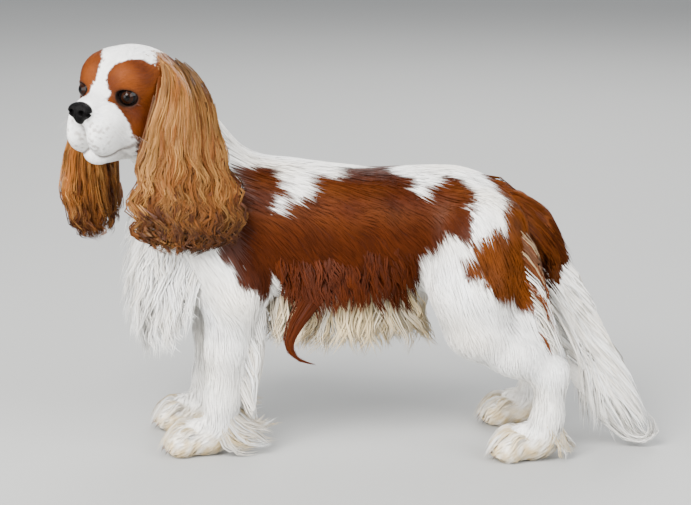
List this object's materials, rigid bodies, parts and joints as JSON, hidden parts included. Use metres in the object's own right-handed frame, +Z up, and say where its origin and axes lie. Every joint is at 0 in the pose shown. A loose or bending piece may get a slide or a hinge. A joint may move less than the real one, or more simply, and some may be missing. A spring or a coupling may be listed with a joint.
{
  "type": "cavalier king charles spaniel",
  "caption": "Life-size still model of a small spaniel standing four-square with its head turned, long feathered ears, chest, legs and tail.",
  "frame": {"origin": "on the floor under the middle of the standing dog", "axes": "+Z up, -X the way the body faces, -Y the dog's left side"},
  "size_m": [0.6088, 0.2236, 0.4264],
  "materials": {
    "white_coat": "long silky white hair",
    "chestnut_coat": "silky rich chestnut hair with white markings",
    "head_coat": "short chestnut hair with a white blaze and muzzle",
    "ear_coat": "long wavy golden chestnut hair",
    "nose_leather": "moist black pebbled skin",
    "eye": "wet, very dark brown"
  },
  "bodies": {
    "root": {"head": "head_coat", "nose": "nose_leather", "eye_left": "eye", "eye_right": "eye", "ear_left": "ear_coat", "ear_right": "ear_coat", "neck": "white_coat", "chest": "white_coat", "loin": "chestnut_coat", "rump": "chestnut_coat", "foreleg_left": "white_coat", "foreleg_right": "white_coat", "forepaw_left": "white_coat", "forepaw_right": "white_coat", "thigh_left": "white_coat", "thigh_right": "white_coat", "shank_left": "white_coat", "shank_right": "white_coat", "hindpaw_left": "white_coat", "hindpaw_right": "white_coat", "tail": "white_coat"}
  },
  "joints": []
}
